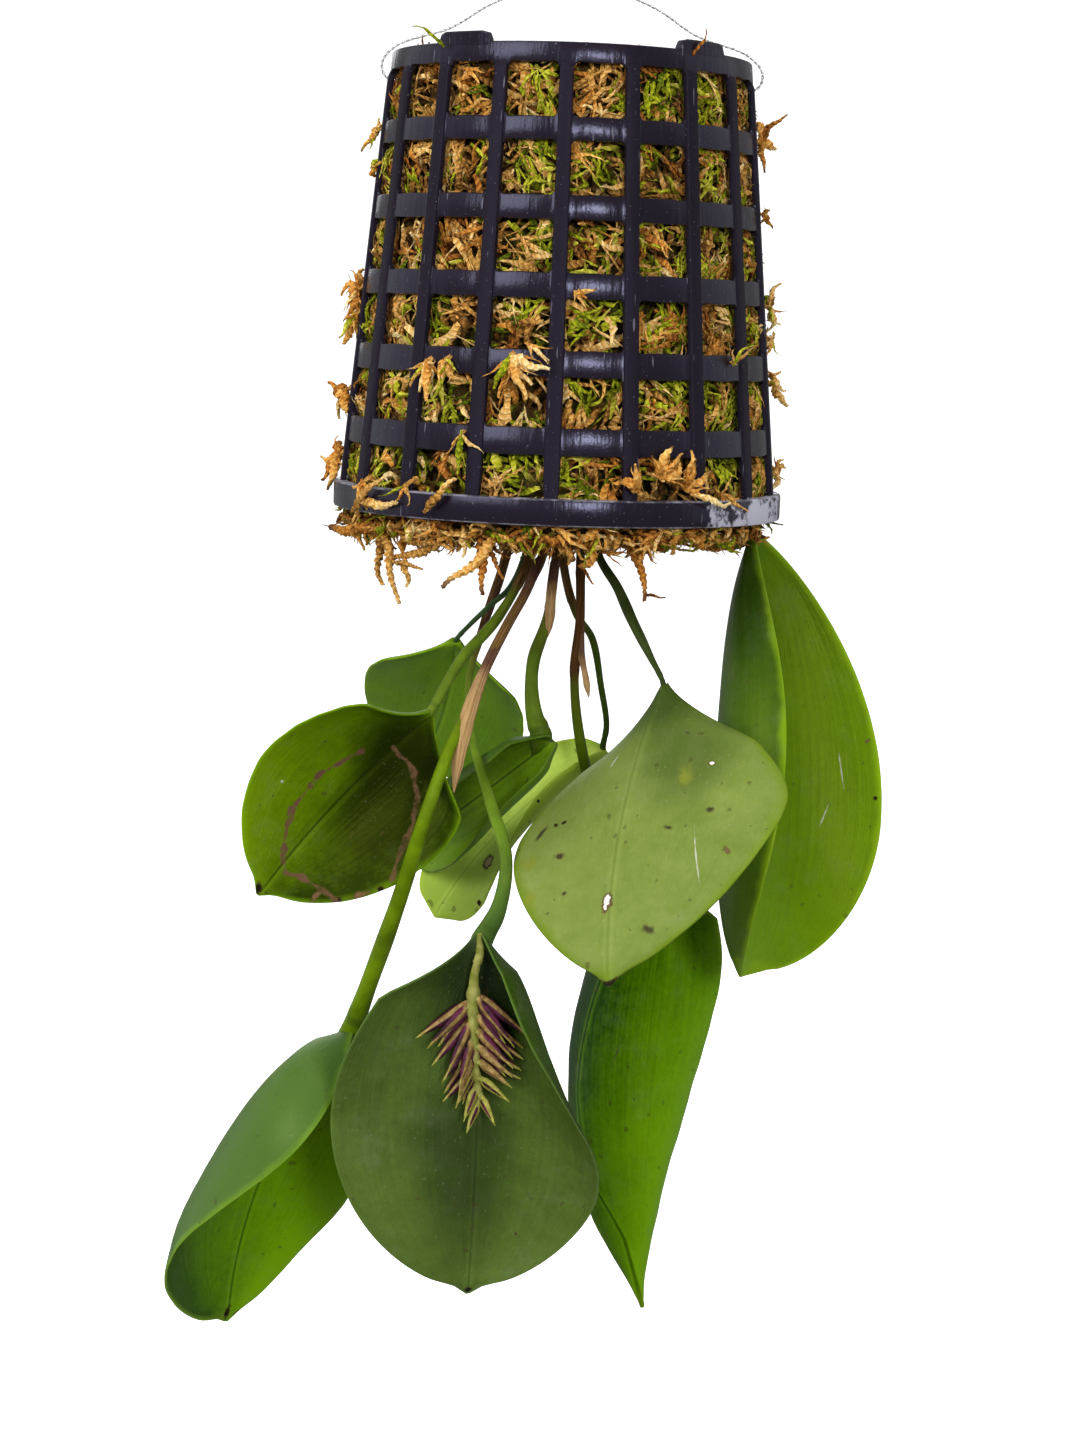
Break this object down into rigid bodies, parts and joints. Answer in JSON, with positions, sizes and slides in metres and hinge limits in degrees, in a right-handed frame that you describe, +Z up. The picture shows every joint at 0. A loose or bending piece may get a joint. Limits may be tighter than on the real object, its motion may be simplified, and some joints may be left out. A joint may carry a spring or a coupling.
{
  "type": "pendent orchid in a hanging net pot",
  "caption": "Pendent orchid with leathery cupped leaves and a small raceme, hanging from a moss-filled upturned black net pot on a wire hanger.",
  "frame": {"origin": "inside top of the wire eye that the pot hangs by", "axes": "+Z up along the hanging line, -Y towards the front side with the flowers, +X to the right seen from the front"},
  "size_m": [0.1436, 0.102, 0.2889],
  "materials": {
    "pot_plastic": "smooth black moulded plastic with a soft shine",
    "wire": "thin galvanised wire",
    "moss": "dry tan and green sphagnum",
    "stem": "smooth, waxy",
    "dry_bract": "papery, ribbed lengthways",
    "leaf": "waxy green with a pale margin",
    "flower": "maroon flowers on a pale green stalk"
  },
  "bodies": {
    "root": {"net_pot": "pot_plastic", "hanger": "wire", "moss": "moss", "stem_flower": "stem", "stem_upperLeft": "stem", "stem_left": "stem", "stem_lowerLeft": "stem", "stem_centre": "stem", "stem_hindCentre": "stem", "stem_lowerRight": "stem", "stem_frontRight": "stem", "stem_right": "stem", "bract_lowerLeft": "dry_bract", "bract_flower": "dry_bract", "bract_centre": "dry_bract", "bract_lowerRight": "dry_bract", "leaf_flower": "leaf", "leaf_upperLeft": "leaf", "leaf_left": "leaf", "leaf_lowerLeft": "leaf", "leaf_centre": "leaf", "leaf_hindCentre": "leaf", "leaf_lowerRight": "leaf", "leaf_frontRight": "leaf", "leaf_right": "leaf", "flower_spike": "flower"}
  },
  "joints": []
}
